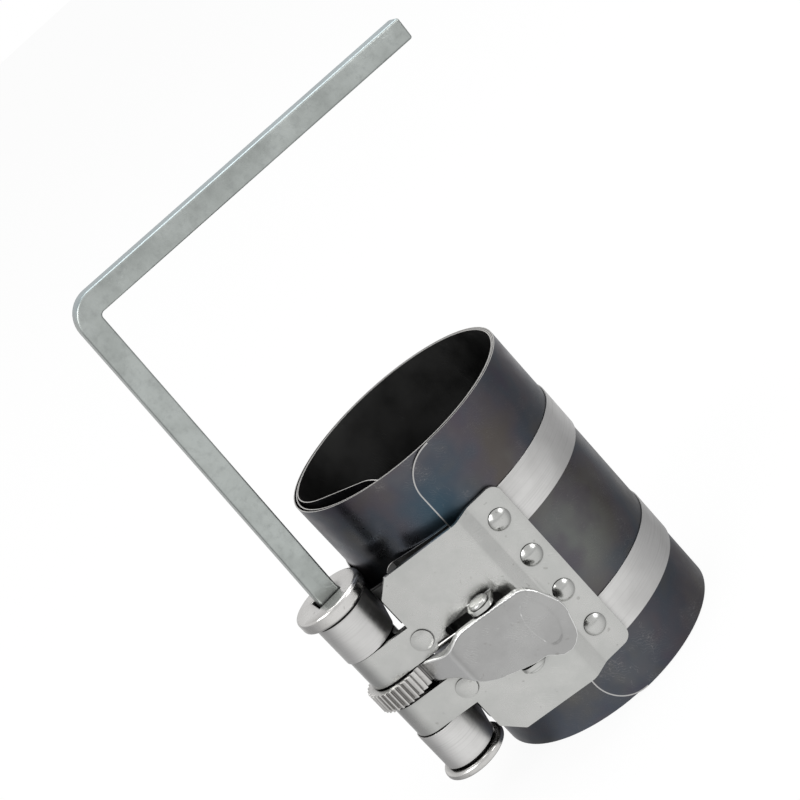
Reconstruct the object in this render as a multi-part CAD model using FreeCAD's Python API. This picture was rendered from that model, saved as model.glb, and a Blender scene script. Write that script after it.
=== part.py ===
import FreeCAD, Part
import math
import os

# Piston ring compressor: a rolled spring steel sleeve closed by two straps,
# which a ratcheted spindle winds up when its square key is turned.
# The sleeve's axis is +Z, its lower rim lies at z = 0, and the bracket faces -Y.
# Lengths are in millimetres and angles in degrees.

# Sleeve: one sheet rolled into a little under three turns
sleeve_height = 88.9
bore_radius = 32.7
sheet_thickness = 0.3
lap_gap = 0.1
outer_turn_slack = 0.5
slack_fade_angle = 200.0
outer_end_azimuth = -103.5
outer_end_seat = -74.0
lap_step_angle = 78.0
end_lift_angle = 70.0
curve_step = 40.0
sheet_corner_radius = 10.0
corner_tab_margin = 1.0
rivet_zone_swing = 6.0
flap_azimuth = 166.0
flap_bend_radius = 20.0
flap_bend_angle = 55.0
flap_straight = 27.0

# Straps
strap_width = 12.0
strap_thickness = 0.3
strap_mid_z = 41.8
strap_offset = 20.1
strap_start_azimuth = -91.0

# Spindle and what it carries
spindle_x = -42.8
spindle_y = -22.0
journal_clearance = 0.08
press_gap = 0.02
side_gap = 0.3
drive_flange_radius = 10.2
drive_flange_thickness = 4.0
drive_flange_gap = 1.1
end_flange_radius = 9.5
end_flange_thickness = 2.4
end_flange_gap = 0.7
flange_easing = 0.6
peened_end_height = 0.6
socket_width = 7.2
socket_depth = 17.0
coil_turns = 3
coil_gap = 0.04
wrap_clearance = 0.08
wrap_sweep = 325.0

# Ratchet wheel
wheel_radius = 9.7
wheel_width = 6.0
wheel_top_gap = 0.5
tooth_count = 36
tooth_depth = 0.8
tooth_tip_round = 0.18

# Bracket: foot, raised deck and two knuckles rolled round the spindle
bracket_thickness = 1.2
bracket_height = 56.0
bracket_mid_z = 42.0
foot_azimuth = -86.0
foot_right = 5.2
foot_left = 3.6
foot_corner_radius = 3.0
step_angle = 30.0
step_bend_radius = 2.2
deck_slope = 15.0
deck_left_x = -32.8
deck_upper_chamfer = 4.4
deck_lower_chamfer = 4.9
deck_corner_radius = 0.8
knuckle_radius = 7.4
knuckle_open_angle = 16.0
tab_bend_radius = 1.8
tab_length = 7.6
wheel_slot_width = 7.8
window_left_x = -26.3
window_right_x = -9.8

# Ears lanced out of the deck for the lever's pin
pin_x = -15.2
pin_y = -40.3
window_corner_radius = 1.2
ear_width = 7.6
ear_tip_width = 6.8
ear_top_radius = 3.1
ear_bend_radius = 0.3
ear_side_gap = 0.2

# Rivets
rivet_head_radius = 3.0
rivet_head_height = 1.5
rivet_shank_radius = 1.6
rivet_shank_clearance = 0.03
rivet_top_z = 61.9
rivet_spacing = 12.75
knuckle_rivet_x = -30.0
knuckle_rivet_height = 0.8
knuckle_tail_height = 0.7
tail_radius = 2.4
dome_bands = ((0.86, 0.6), (0.45, 1.0))

# Back plate between the outer end of the sheet and the turn below it
plate_thickness = 0.4
plate_margin = 0.3
plate_right_azimuth = -79.0
plate_hug_azimuth = -108.0
plate_run = 15.5
plate_run_radius = 75.0
plate_flare_radius = 16.0
plate_flare_angle = 14.0
plate_corner_radius = 4.0

# Lever: pawl nose, shoulders and thumb paddle, pressed from one sheet
lever_thickness = 1.2
lever_mid_z = 39.8
lever_width = 19.2
lever_rim_depth = 2.7
nose_width = 7.0
nose_mid_z = 42.2
nose_azimuth = -49.0
nose_clearance = 0.05
nose_slope = 51.0
nose_length = 12.0
nose_bend_radius = 6.0
lever_shoulder_x = -24.2
nose_shoulder_x = -30.6
rim_start_x = -34.9
cheek_margin = 0.6
cheek_foot = 0.4
neck_upper_round = 6.0
neck_lower_round = 5.0
neck_lower_lead = 1.6
shoulder_lower_lag = 1.0
paddle_end_inset = 0.4
paddle_top_inset = 4.4
paddle_top_round = 7.0
paddle_bulge = 0.6
paddle_bulge_drop = 1.4
paddle_bulge_round = 9.0
paddle_chin_inset = 2.6
paddle_chin_drop = 3.4
paddle_chin_round = 6.0
paddle_heel_inset = 9.6
paddle_heel_drop = 3.0
paddle_root_inset = 13.0
paddle_heel_round = 3.0
paddle_slope = 14.0
paddle_curve_radius = 190.0
paddle_curve_angle = 9.0
recess_depth = 0.35
recess_x = -5.3
recess_z = 38.4
recess_length = 9.4
recess_width = 14.6

# Lever pin
pin_radius = 1.5
pin_clearance = 0.07
pin_head_radius = 2.8
pin_head_thickness = 1.2
pin_head_easing = 0.5

# Lever spring
wire_radius = 0.35
spring_turns = 5
spring_clearance = 0.15
spring_seat_gap = 0.1
spring_foot_margin = 1.6
spring_leg_reach = 8.0
spring_top_z = 47.4

# Key: a bent square bar
bar_width = 6.35
key_bend_radius = 4.3
key_corner_z = 167.9
key_arm_length = 107.0
key_seat_gap = 0.1
key_azimuth = 10.0
key_lean = 2.5


def vec(x, y, z=0.0):
    return FreeCAD.Vector(x, y, z)


def polar(radius, azimuth, z=0.0):
    turn = math.radians(azimuth)
    return vec(radius * math.cos(turn), radius * math.sin(turn), z)


UP = vec(0, 0, 1)
SPINDLE = vec(spindle_x, spindle_y)
PIN = vec(pin_x, pin_y)


class Path:
    """A walk of tangent lines and arcs; a strip of sheet follows it."""

    def __init__(self, start, heading):
        self.point = start
        self.heading = heading
        self.legs = []

    def line(self, length):
        end = self.point + polar(length, self.heading)
        self.legs.append(("line", self.point, end, self.heading, None, 0.0))
        self.point = end
        return self

    def arc(self, radius, turn):
        side = math.copysign(1.0, turn)
        centre = self.point + polar(radius * side, self.heading + 90.0)
        self.legs.append(("arc", self.point, None, self.heading, centre, turn))
        self.heading += turn
        self.point = centre - polar(radius * side, self.heading + 90.0)
        return self

    def arc_to(self, target):
        """The tangent arc that ends at a point."""
        chord = target - self.point
        aim = math.degrees(math.atan2(chord.y, chord.x))
        half = (aim - self.heading + 180.0) % 360.0 - 180.0
        radius = chord.Length / (2.0 * math.sin(math.radians(abs(half))))
        return self.arc(radius, 2.0 * half)

    def curve(self, points, headings):
        """Pairs of tangent arcs through points whose directions are known."""
        for target, heading in zip(points[1:], headings[1:]):
            ahead, arrive = polar(1.0, self.heading), polar(1.0, heading)
            chord = target - self.point
            across = chord.dot(ahead + arrive)
            spread = 2.0 * (1.0 - ahead.dot(arrive))
            root = math.sqrt(across ** 2 + spread * chord.dot(chord))
            reach = chord.dot(chord) / (across + root)
            self.arc_to((self.point + target + (ahead - arrive) * reach) * 0.5)
            self.arc_to(target)
        return self

    def side(self, offset):
        """The edges that run beside the walk, offset to its left."""
        edges = []
        for kind, start, end, heading, centre, turn in self.legs:
            shift = polar(offset, heading + 90.0)
            if kind == "line":
                edges.append(Part.makeLine(start + shift, end + shift))
                continue
            spoke = start + shift - centre
            points = [centre + turned(spoke, turn * part) for part in (0.0, 0.5, 1.0)]
            edges.append(Part.Arc(*points).toShape())
        return edges

    def strip(self, thickness):
        left = self.side(thickness / 2)
        right = self.side(-thickness / 2)
        caps = [Part.makeLine(left[0].firstVertex().Point, right[0].firstVertex().Point)]
        caps.append(Part.makeLine(left[-1].lastVertex().Point, right[-1].lastVertex().Point))
        ring = Part.Wire(Part.__sortEdges__(left + right + caps))
        return Part.Face(ring)


def turned(vector, degrees):
    """A flat vector turned about +Z."""
    turn = math.radians(degrees)
    return vec(
        vector.x * math.cos(turn) - vector.y * math.sin(turn),
        vector.x * math.sin(turn) + vector.y * math.cos(turn),
    )


def upright(face, bottom, top):
    """A face in the XY plane, raised from one height to another."""
    return face.translated(UP * bottom).extrude(UP * (top - bottom))


def rounded_face(corners, origin, along, across):
    """A flat face from (a, b, radius) corners in the plane of two directions."""
    points = [origin + along * a + across * b for a, b, radius in corners]
    arcs = []
    for index, (a, b, radius) in enumerate(corners):
        here = points[index]
        back = (points[index - 1] - here).normalize()
        ahead = (points[(index + 1) % len(points)] - here).normalize()
        half = back.getAngle(ahead) / 2
        reach = radius / math.tan(half)
        middle = (back + ahead).normalize() * (radius / math.sin(half) - radius)
        arcs.append((here + back * reach, here + middle, here + ahead * reach, radius))
    edges = []
    for index, (start, middle, end, radius) in enumerate(arcs):
        if radius > 0:
            edges.append(Part.Arc(start, middle, end).toShape())
        following = arcs[(index + 1) % len(arcs)][0]
        if (following - end).Length > 1e-6:
            edges.append(Part.makeLine(end, following))
    return Part.Face(Part.Wire(edges))


def run_through(face):
    """A face in the XZ plane, run through the part from front to back."""
    through = vec(0, 4 * bore_radius)
    return face.translated(through * -0.5).extrude(through)


def front_prism(corners):
    """An (x, z, radius) outline, run through the part."""
    return run_through(rounded_face(corners, vec(0, 0), vec(1, 0), UP))


def rod(radius, base, direction, length):
    return Part.makeCylinder(radius, length, base, direction)


def joined(shapes):
    solid = shapes[0].fuse(shapes[1:]).removeSplitter()
    return solid.Solids[0] if len(solid.Solids) == 1 else solid


def eased_disc(radius, thickness, easing, bottom):
    """A disc about the spindle's axis with both its rims eased."""
    disc = Part.makeCylinder(radius, thickness, SPINDLE + UP * bottom)
    rims = [edge for edge in disc.Edges if edge.Closed]
    return disc.makeChamfer(min(easing, 0.45 * thickness), rims)


# Levels and radii that several pieces share
turn_pitch = sheet_thickness + lap_gap
inner_turn_radius = bore_radius + sheet_thickness / 2
plate_lift = plate_thickness + 2 * lap_gap + sheet_thickness
strap_heights = {"upper": strap_mid_z + strap_offset, "lower": strap_mid_z - strap_offset}
bracket_bottom = bracket_mid_z - bracket_height / 2
bracket_top = bracket_mid_z + bracket_height / 2
slot_bottom = bracket_mid_z - wheel_slot_width / 2
slot_top = bracket_mid_z + wheel_slot_width / 2
knuckle_spans = {
    "upper": (slot_top, strap_heights["upper"] - strap_width / 2 - side_gap),
    "lower": (strap_heights["lower"] + strap_width / 2 + side_gap, slot_bottom),
}
journal_radius = knuckle_radius - bracket_thickness - journal_clearance
flange_bottom = strap_heights["upper"] + strap_width / 2 + drive_flange_gap
spindle_top = flange_bottom + drive_flange_thickness
end_flange_top = strap_heights["lower"] - strap_width / 2 - end_flange_gap
end_flange_bottom = end_flange_top - end_flange_thickness
spindle_bottom = end_flange_bottom - peened_end_height
lever_bottom = lever_mid_z - lever_width / 2
lever_top = lever_mid_z + lever_width / 2
ear_inner_top = lever_top + ear_side_gap
ear_inner_bottom = lever_bottom - ear_side_gap
coil_pitch = strap_thickness + coil_gap
coil_start_radius = journal_radius + press_gap + strap_thickness / 2
coil_outer_radius = coil_start_radius + coil_turns * coil_pitch + strap_thickness / 2
wrap_radius = coil_outer_radius + wrap_clearance + strap_thickness / 2
spring_radius = pin_radius + spring_clearance + wire_radius

# The deck's directions: outward from its face, and along it away from the spindle
deck_out = polar(1.0, -90.0 - deck_slope)
deck_along = polar(1.0, -deck_slope)
deck_face = deck_out.dot(SPINDLE) + knuckle_radius


def smooth(share):
    """An even rise from 0 to 1."""
    share = min(max(share, 0.0), 1.0)
    return share * share * (3.0 - 2.0 * share)


# Degrees walked clockwise round the sheet, from the flap's root outwards
first_turn = (flap_azimuth - outer_end_azimuth) % 360.0
outer_turn = first_turn + 360.0
whole_wall = first_turn + 720.0
seat_start = whole_wall - (outer_end_seat - outer_end_azimuth)
wall_changes = [first_turn + lap_step_angle, outer_turn, outer_turn + lap_step_angle]
wall_changes += [seat_start - end_lift_angle, outer_turn + lap_step_angle + slack_fade_angle]


def wall_radius(travel):
    """The sheet's middle radius: each turn steps over the end of the one inside it."""
    growth = turn_pitch * smooth((travel - first_turn) / lap_step_angle)
    step = smooth((travel - outer_turn) / lap_step_angle)
    ease = 1.0 - smooth((travel - outer_turn - lap_step_angle) / slack_fade_angle)
    growth += (turn_pitch + outer_turn_slack * ease) * step
    lift = smooth((travel - seat_start + end_lift_angle) / end_lift_angle)
    return inner_turn_radius + growth + (plate_lift - turn_pitch) * lift


def wall_point(travel, lift=0.0):
    return polar(wall_radius(travel) + lift, flap_azimuth - travel)


def wall_heading(travel, lift=0.0):
    """The clockwise walker's direction at one place."""
    ahead = wall_point(travel + 0.0005, lift) - wall_point(travel - 0.0005, lift)
    return math.degrees(math.atan2(ahead.y, ahead.x))


def wall_curve(start, end, lift=0.0, turnabout=0.0):
    """Points and directions along the wall, for a curve leg."""
    low, high = min(start, end), max(start, end)
    stations = [low]
    for change in [place for place in wall_changes if low < place < high] + [high]:
        gap = change - stations[-1]
        steady = abs(wall_radius(change) - wall_radius(stations[-1])) < 0.001
        count = 1 if steady else math.ceil(gap / curve_step)
        stations += [change - gap * (count - index) / count for index in range(1, count + 1)]
    travels = stations if end > start else stations[::-1]
    points = [wall_point(travel, lift) for travel in travels]
    return points, [wall_heading(travel, lift) + turnabout for travel in travels]


END_RADIUS = wall_radius(whole_wall)

# Distances along the rivets' direction, from the sleeve's axis outwards
foot_out = polar(1.0, foot_azimuth)
sheet_seat = END_RADIUS
plate_inside = sheet_seat - sheet_thickness / 2 - lap_gap - plate_thickness
strap_outside = sheet_seat + sheet_thickness / 2 + lap_gap + strap_thickness
foot_inside = strap_outside + lap_gap
foot_face = foot_inside + bracket_thickness


def rivet_heights():
    """Four rivets in one evenly spaced line; the outer two also hold the straps."""
    names = ("strap_rivet_upper", "foot_rivet_upper", "foot_rivet_lower", "strap_rivet_lower")
    return {name: rivet_top_z - place * rivet_spacing for place, name in enumerate(names)}


def rivet_holes(shape):
    """The four holes that the foot's rivets fill."""
    radius = rivet_shank_radius + rivet_shank_clearance
    stack = foot_face - plate_inside
    for height in rivet_heights().values():
        inner = foot_out * (plate_inside - stack) + UP * height
        shape = shape.cut(rod(radius, inner, foot_out, 3 * stack))
    return shape


def sleeve():
    """The rolled sheet, with rounded corners at its outer end and its inner flap."""
    wall = Path(wall_point(0.0), flap_azimuth - 90.0)
    wall.arc(inner_turn_radius, -first_turn)
    wall.curve(*wall_curve(first_turn, seat_start))
    tab_sweep = math.degrees((sheet_corner_radius + corner_tab_margin) / END_RADIUS)
    wall.arc(END_RADIUS, seat_start - whole_wall + tab_sweep)
    end_tab = Path(wall.point, wall.heading)
    end_tab.arc(END_RADIUS, -tab_sweep)

    flap = Path(wall_point(0.0), flap_azimuth + 90.0)
    flap.arc(flap_bend_radius, flap_bend_angle)
    flap.line(flap_straight - sheet_corner_radius - corner_tab_margin)
    flap_tab = Path(flap.point, flap.heading).line(sheet_corner_radius + corner_tab_margin)

    pieces = [sheet_piece(path) for path in (wall, flap)]
    for tab in (end_tab, flap_tab):
        pieces.append(sheet_piece(tab).common(end_window(tab.point, tab.heading)))
    zone = upright(rivet_zone(), 0, sleeve_height)
    seated = [piece.common(zone) for piece in (pieces[0], pieces[2])]
    rest = [pieces[0].cut(zone), pieces[1], pieces[2].cut(zone), pieces[3]]
    return joined(rest + [rivet_holes(piece) for piece in seated if piece.Volume > 0])


def sheet_piece(path):
    return upright(path.strip(sheet_thickness), 0, sleeve_height)


def rivet_zone():
    """The outer end of the sheet round the rivets, clear of the turns below it."""
    low, high = END_RADIUS - sheet_thickness, END_RADIUS + sheet_thickness
    spans = [foot_azimuth + swing for swing in (-rivet_zone_swing, 0.0, rivet_zone_swing)]
    edges = [Part.Arc(*[polar(radius, span) for span in spans]).toShape() for radius in (low, high)]
    edges += [Part.makeLine(polar(low, span), polar(high, span)) for span in (spans[0], spans[2])]
    return Part.Face(Part.Wire(Part.__sortEdges__(edges)))


def end_window(end, heading):
    """A prism with two rounded corners, which rounds the end of a tab."""
    along = polar(1.0, heading)
    across = polar(1.0, heading + 90.0)
    radius = sheet_corner_radius
    length = 3.0 * radius
    corners = [(-length, 0.0, 0.0), (0.0, 0.0, radius)]
    corners += [(0.0, sleeve_height, radius), (-length, sleeve_height, 0.0)]
    depth = 2.0 * radius
    face = rounded_face(corners, end - across * (depth / 2), along, UP)
    return face.extrude(across * depth)


def strap_route():
    """From under the foot, round the sleeve and on to the outer turn of the coil."""
    lift = sheet_thickness / 2 + lap_gap + strap_thickness / 2
    start = whole_wall - (strap_start_azimuth - outer_end_azimuth)
    route = Path(wall_point(start, lift), strap_start_azimuth + 90.0)
    route.arc(END_RADIUS + lift, outer_end_seat - strap_start_azimuth)
    low, high = outer_turn, outer_turn + 180.0
    for halving in range(40):
        leave = (low + high) / 2
        side = polar(1.0, wall_heading(leave, lift) - 90.0)
        if side.dot(SPINDLE - wall_point(leave, lift)) < -wrap_radius:
            low = leave
        else:
            high = leave
    route.curve(*wall_curve(seat_start, leave, lift, 180.0))
    along = polar(1.0, route.heading)
    route.line(along.dot(SPINDLE - route.point))
    route.arc(wrap_radius, -wrap_sweep)
    return route


def strap(height):
    band = upright(strap_route().strip(strap_thickness), -strap_width / 2, strap_width / 2)
    return rivet_holes(band.translated(UP * height))


def coil(height):
    """The turns of strap already wound on the spindle."""
    radius = coil_start_radius
    spiral = Path(SPINDLE + polar(radius, 0.0), 90.0)
    for quarter in range(4 * coil_turns):
        radius += coil_pitch / 4
        spiral.arc(radius, 90.0)
    return upright(spiral.strip(strap_thickness), height - strap_width / 2, height + strap_width / 2)


def deck_profile():
    """Foot, step and deck, walked from the foot's free edge to the spindle."""
    centre_face = foot_face - bracket_thickness / 2
    start = foot_out * centre_face + turned(foot_out, 90.0) * foot_right
    profile = Path(start, foot_azimuth - 90.0)
    profile.line(foot_right + foot_left)
    profile.arc(step_bend_radius, step_angle)
    deck_heading = 180.0 - deck_slope
    drop = (profile.heading - deck_heading) % 360.0
    trial = Path(profile.point, profile.heading)
    trial.arc(step_bend_radius, -drop)
    short = deck_face - bracket_thickness / 2 - deck_out.dot(trial.point)
    rise = polar(1.0, profile.heading).dot(deck_out)
    profile.line(short / rise)
    profile.arc(step_bend_radius, -drop)
    profile.line((profile.point - SPINDLE).dot(deck_along))
    return profile


def knuckle_profile():
    """The deck's tab, rolled round the spindle and back under the deck."""
    middle_radius = knuckle_radius - bracket_thickness / 2
    reach = (knuckle_rivet_x - spindle_x) / math.cos(math.radians(deck_slope))
    start = SPINDLE + deck_out * middle_radius + deck_along * reach
    profile = Path(start, 180.0 - deck_slope)
    profile.line(reach)
    profile.arc(middle_radius, -(270.0 - knuckle_open_angle))
    level = middle_radius - bracket_thickness - lap_gap
    trial = Path(profile.point, profile.heading)
    trial.arc(tab_bend_radius, 90.0 - knuckle_open_angle)
    short = level - (trial.point - SPINDLE).dot(deck_out)
    profile.line(short / polar(1.0, profile.heading).dot(deck_out))
    profile.arc(tab_bend_radius, 90.0 - knuckle_open_angle)
    profile.line(tab_length)
    return profile


def ear(inner_z, outward):
    """One ear, bent up square from the window's edge, and the fillet in its bend."""
    foot = SPINDLE + deck_along * (PIN - SPINDLE).dot(deck_along)
    foot = foot + deck_out * (deck_face - bracket_thickness - deck_out.dot(foot))
    top = deck_out.dot(PIN - foot) + ear_top_radius
    half, tip = ear_width / 2, ear_tip_width / 2
    corners = [(-half, 0.0, 0.0), (half, 0.0, 0.0)]
    corners += [(tip, top, ear_top_radius), (-tip, top, ear_top_radius)]
    face = rounded_face(corners, foot + UP * inner_z, deck_along, deck_out)
    away = UP * outward
    plate = face.extrude(away * bracket_thickness)

    corner = foot + deck_out * bracket_thickness + UP * inner_z + away * bracket_thickness
    centre = corner + (away + deck_out) * ear_bend_radius
    ends = [corner + away * ear_bend_radius, corner + deck_out * ear_bend_radius]
    middle = centre - (away + deck_out).normalize() * ear_bend_radius
    edges = [Part.makeLine(corner, ends[0]), Part.Arc(ends[0], middle, ends[1]).toShape()]
    edges.append(Part.makeLine(ends[1], corner))
    fillet = Part.Face(Part.Wire(edges)).translated(deck_along * -half)
    return [plate, fillet.extrude(deck_along * ear_width)]


def bracket():
    """The deck with its rolled knuckles, the wheel's slot, the window and the ears."""
    deck = upright(deck_profile().strip(bracket_thickness), bracket_bottom, bracket_top)
    foot_edge = (foot_out * foot_face + turned(foot_out, 90.0) * foot_right).x
    left, ease = deck_left_x, deck_corner_radius
    outline = [
        (foot_edge, bracket_bottom, foot_corner_radius),
        (foot_edge, bracket_top, foot_corner_radius),
        (left + deck_upper_chamfer, bracket_top, ease),
        (left, bracket_top - deck_upper_chamfer, ease),
        (left, bracket_bottom + deck_lower_chamfer, ease),
        (left + deck_lower_chamfer, bracket_bottom, ease),
    ]
    pieces = [deck.common(front_prism(outline))]
    for bottom, top in knuckle_spans.values():
        pieces.append(upright(knuckle_profile().strip(bracket_thickness), bottom, top))
    plate = joined(pieces)

    plate = plate.cut(front_opening(deck_left_x - bracket_thickness, window_left_x, slot_bottom, slot_top, 0.0))
    window = (window_left_x, window_right_x, ear_inner_bottom, ear_inner_top)
    plate = plate.cut(front_opening(*window, window_corner_radius))
    plate = joined([plate] + ear(ear_inner_top, 1.0) + ear(ear_inner_bottom, -1.0))

    bore = rod(pin_radius + press_gap, PIN + UP * bracket_bottom, UP, bracket_height)
    plate = rivet_holes(plate.cut(bore))
    hole_radius = rivet_shank_radius + rivet_shank_clearance
    for bottom, top in knuckle_spans.values():
        seat, out = knuckle_rivet_seat((bottom + top) / 2)
        plate = plate.cut(rod(hole_radius, seat - out * knuckle_radius, out, 2 * knuckle_radius))
    return plate


def front_opening(left, right, bottom, top, radius):
    """A rectangular opening through the deck, seen from the front."""
    corners = [(left, bottom, radius), (left, top, radius)]
    return front_prism(corners + [(right, top, radius), (right, bottom, radius)])


def knuckle_rivet_seat(height):
    """The point on the deck's face below a knuckle rivet's head."""
    reach = (knuckle_rivet_x - spindle_x) / math.cos(math.radians(deck_slope))
    return SPINDLE + deck_out * knuckle_radius + deck_along * reach + UP * height, deck_out


def back_plate():
    lift = sheet_thickness / 2 + lap_gap + plate_thickness / 2
    radius = END_RADIUS - lift
    start = polar(radius, plate_right_azimuth)
    route = Path(start, plate_right_azimuth - 90.0)
    route.arc(radius, plate_hug_azimuth - plate_right_azimuth)
    route.arc(plate_run_radius, -math.degrees(plate_run / plate_run_radius))
    route.arc(plate_flare_radius, plate_flare_angle)
    low, high = bracket_bottom + plate_margin, bracket_top - plate_margin
    plate = upright(route.strip(plate_thickness), low, high)
    tip = route.point.x
    round_end = plate_corner_radius
    outline = [(tip, low, round_end), (start.x + round_end, low, 0.0)]
    outline += [(start.x + round_end, high, 0.0), (tip, high, round_end)]
    return rivet_holes(plate.common(front_prism(outline)))


def domed_rivet(seat, out, depth, head_height, tail=0.0):
    """A rivet with a domed head on its seat, its shank behind it and a flat tail."""
    shank, head = rivet_shank_radius, rivet_head_radius
    points = [vec(0, 0, -depth - tail)]
    if tail > 0:
        points += [vec(tail_radius, 0, -depth - tail), vec(tail_radius, 0, -depth)]
    points += [vec(shank, 0, -depth), vec(shank, 0, 0), vec(head, 0, 0)]
    for part, rise in dome_bands:
        points.append(vec(head * part, 0, head_height * rise))
    points.append(vec(0, 0, head_height))
    solid = Part.Face(Part.makePolygon(points + points[:1])).revolve(vec(0, 0), UP, 360)
    solid.Placement = FreeCAD.Placement(seat, FreeCAD.Rotation(UP, out))
    return solid


def rivets():
    """Four through the foot, one through each knuckle's tab."""
    depth = foot_face - plate_inside
    made = {}
    for name, height in rivet_heights().items():
        seat = foot_out * foot_face + UP * height
        made[name] = domed_rivet(seat, foot_out, depth, rivet_head_height)
    stack = 2 * bracket_thickness + lap_gap
    for name, (bottom, top) in knuckle_spans.items():
        seat, out = knuckle_rivet_seat((bottom + top) / 2)
        made["knuckle_rivet_" + name] = domed_rivet(seat, out, stack, knuckle_rivet_height, knuckle_tail_height)
    return made


def spindle():
    """Journal and drive flange in one piece, with the key's square socket."""
    body = Part.makeCylinder(journal_radius, spindle_top - spindle_bottom, SPINDLE + UP * spindle_bottom)
    flange = eased_disc(drive_flange_radius, drive_flange_thickness, flange_easing, flange_bottom)
    half = socket_width / 2
    corner = SPINDLE + vec(-half, -half, spindle_top - socket_depth)
    socket = Part.makeBox(socket_width, socket_width, 2 * socket_depth, corner)
    socket.rotate(SPINDLE, UP, key_azimuth)
    return joined([body, flange]).cut(socket)


def end_flange():
    disc = eased_disc(end_flange_radius, end_flange_thickness, flange_easing, end_flange_bottom)
    bore = rod(journal_radius + press_gap, SPINDLE, UP, 2 * end_flange_top)
    return disc.cut(bore)


def wheel_span():
    top = slot_top - wheel_top_gap
    return top - wheel_width, top


def ratchet_wheel():
    """Saw teeth: each ramp climbs to a crest and drops on its locking face."""
    pitch = 360.0 / tooth_count
    root = wheel_radius - tooth_depth
    crest = math.degrees(tooth_tip_round / wheel_radius)
    points = []
    for tooth in range(tooth_count):
        top = nose_azimuth + tooth * pitch
        points.append(SPINDLE + polar(wheel_radius, top - crest))
        points.append(SPINDLE + polar(wheel_radius, top + crest))
        points.append(SPINDLE + polar(root, top + 2 * crest))
    bottom, top = wheel_span()
    blank = upright(Part.Face(Part.makePolygon(points + points[:1])), bottom, top)
    return blank.cut(rod(journal_radius + press_gap, SPINDLE + UP * (bottom - wheel_width), UP, 3 * wheel_width))


def lever_route(inward=0.0):
    """The middle of the lever's sheet, or a line beside it, from the nose's tip on."""
    contact = SPINDLE + polar(wheel_radius + nose_clearance, nose_azimuth)
    start = contact + polar(inward - lever_thickness / 2, 90.0 - nose_slope)
    route = Path(start, -nose_slope)
    route.line(nose_length)
    route.arc(nose_bend_radius - inward, nose_slope - paddle_slope)
    route.arc(paddle_curve_radius - inward, paddle_curve_angle)
    return route


def lever_outline():
    """The lever's outline seen from the front: nose, shoulders and a rounded paddle."""
    tip = lever_route().legs[0][1].x - lever_thickness
    end = lever_route().point.x - paddle_end_inset
    nose_top = nose_mid_z + nose_width / 2
    nose_low = nose_mid_z - nose_width / 2
    corners = [
        (tip, nose_low, 0.0),
        (tip, nose_top, 0.0),
        (nose_shoulder_x, nose_top, neck_upper_round),
        (lever_shoulder_x, lever_top, neck_upper_round),
        (end - paddle_top_inset, lever_top, paddle_top_round),
        (end + paddle_bulge, lever_mid_z - paddle_bulge_drop, paddle_bulge_round),
        (end - paddle_chin_inset, lever_bottom - paddle_chin_drop, paddle_chin_round),
        (end - paddle_heel_inset, lever_bottom - paddle_heel_drop, paddle_heel_round),
        (end - paddle_root_inset, lever_bottom, paddle_heel_round),
        (lever_shoulder_x + shoulder_lower_lag, lever_bottom, neck_lower_round),
        (nose_shoulder_x - neck_lower_lead, nose_low, neck_lower_round),
    ]
    return rounded_face(corners, vec(0, 0), vec(1, 0), UP)


def lever_sheet(route, thickness, outline):
    """The part of a bent sheet that lies behind an outline."""
    return upright(route.strip(thickness), bracket_bottom, bracket_top).common(run_through(outline))


def pawl_lever():
    """The sheet with its rim turned down, two cheeks for the pin and the paddle's oval."""
    outline = lever_outline()
    skin = lever_sheet(lever_route(), lever_thickness, outline)
    inward = (lever_rim_depth - lever_thickness) / 2
    rim = lever_sheet(lever_route(inward), lever_rim_depth, outline)
    inside = lever_sheet(lever_route(inward), 3 * lever_rim_depth, outline.makeOffset2D(-lever_thickness))
    nose = front_opening(deck_left_x - lever_width, rim_start_x, bracket_bottom, bracket_top, 0.0)
    rim = rim.cut(inside).cut(nose)

    cheeks = []
    reach = lever_rim_depth + cheek_margin
    for low in (lever_bottom, lever_top - lever_thickness):
        corner = PIN + vec(-reach, cheek_foot - reach, low)
        cheeks.append(rod(reach, PIN + UP * low, UP, lever_thickness))
        cheeks.append(Part.makeBox(2 * reach, reach - cheek_foot, lever_thickness, corner))
    body = joined([skin, rim] + cheeks)
    hole = rod(pin_radius + pin_clearance, PIN + UP * bracket_bottom, UP, bracket_height)
    return body.cut(hole).cut(paddle_recess())


def paddle_recess():
    """The shallow oval pressed into the paddle's face."""
    layer = upright(lever_route().strip(2 * lever_thickness), bracket_bottom, bracket_top)
    floor = lever_route().strip(lever_thickness - 2 * recess_depth)
    layer = layer.cut(upright(floor, bracket_bottom - recess_width, bracket_top + recess_width))
    oval = Part.Face(Part.Wire(Part.Ellipse(vec(0, 0), recess_width / 2, recess_length / 2).toShape()))
    oval.rotate(vec(0, 0), UP, 90)
    oval.rotate(vec(0, 0), vec(1, 0), 90)
    return layer.common(oval.translated(vec(recess_x, pin_y, recess_z)).extrude(vec(0, pin_y)))


def lever_pin():
    """The pin across both ears, with an eased head at each end."""
    low = ear_inner_bottom - bracket_thickness
    high = ear_inner_top + bracket_thickness
    pieces = [rod(pin_radius, PIN + UP * low, UP, high - low)]
    for level, far in ((low - pin_head_thickness, 0.0), (high, pin_head_thickness)):
        head = Part.makeCylinder(pin_head_radius, pin_head_thickness, PIN + UP * level)
        rims = [edge for edge in head.Edges if edge.Closed and abs(edge.CenterOfMass.z - level - far) < 1e-6]
        pieces.append(head.makeChamfer(pin_head_easing, rims))
    return joined(pieces)


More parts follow.
